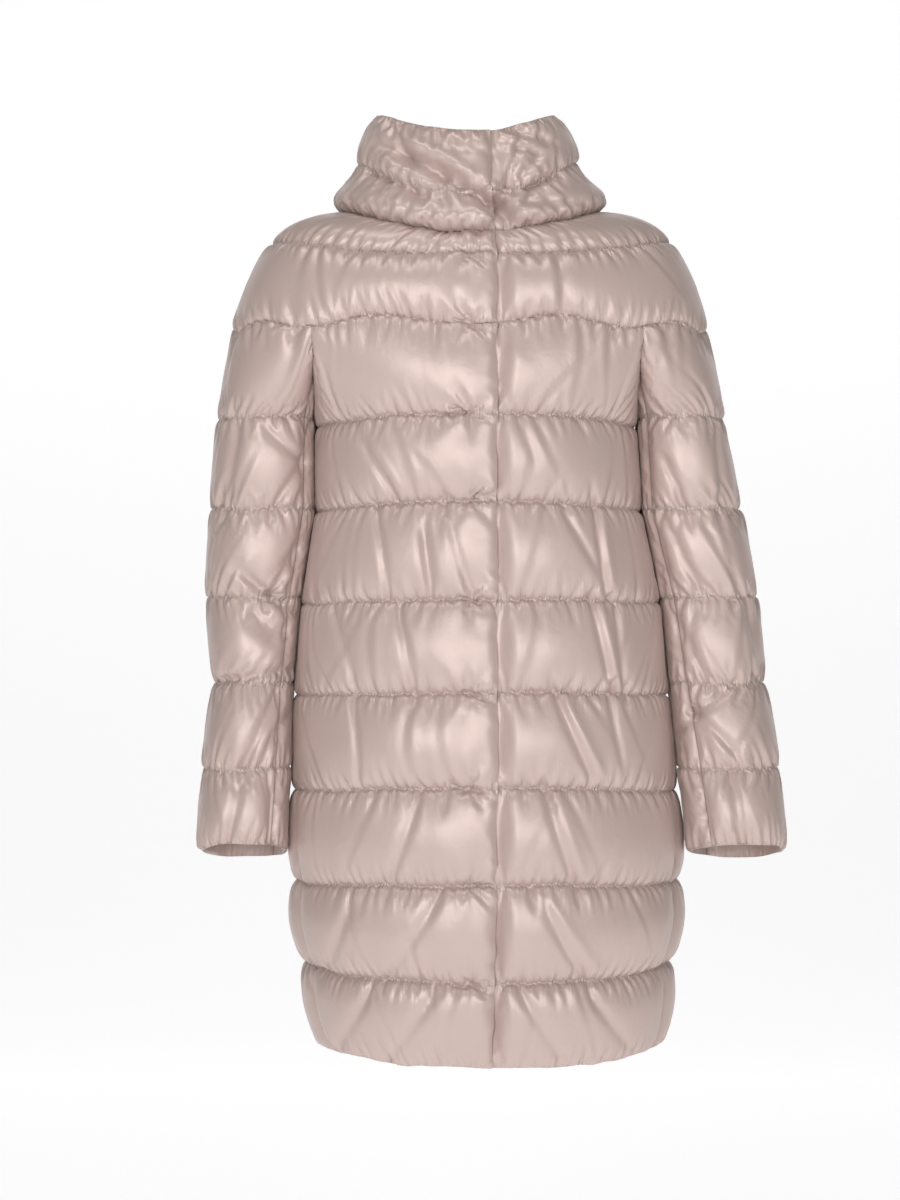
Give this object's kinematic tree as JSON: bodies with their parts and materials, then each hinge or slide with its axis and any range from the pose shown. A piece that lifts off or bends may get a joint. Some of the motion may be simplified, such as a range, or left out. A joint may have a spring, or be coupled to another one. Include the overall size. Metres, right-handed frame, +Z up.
{
  "type": "long puffer coat",
  "caption": "Hollow, worn-shape long quilted down coat with a two-baffle funnel collar, yoke across the shoulders, hidden front fastening under a flap and long two-piece sleeves.",
  "frame": {"origin": "inside the neck at the level of the shoulder tops, where the wearer holds the coat up", "axes": "+Z up, from hem to collar; the front of the coat faces -Y; the wearer's right side is -X"},
  "size_m": [0.6074, 0.2979, 0.9757],
  "materials": {
    "shell": "satin"
  },
  "bodies": {
    "root": {"collar": "shell", "yoke_front_right": "shell", "yoke_front_left": "shell", "yoke_back": "shell", "front_right": "shell", "front_left": "shell", "back": "shell", "placket_flap": "shell", "sleeve_right_upper": "shell", "sleeve_right_under": "shell", "sleeve_left_upper": "shell", "sleeve_left_under": "shell"}
  },
  "joints": []
}
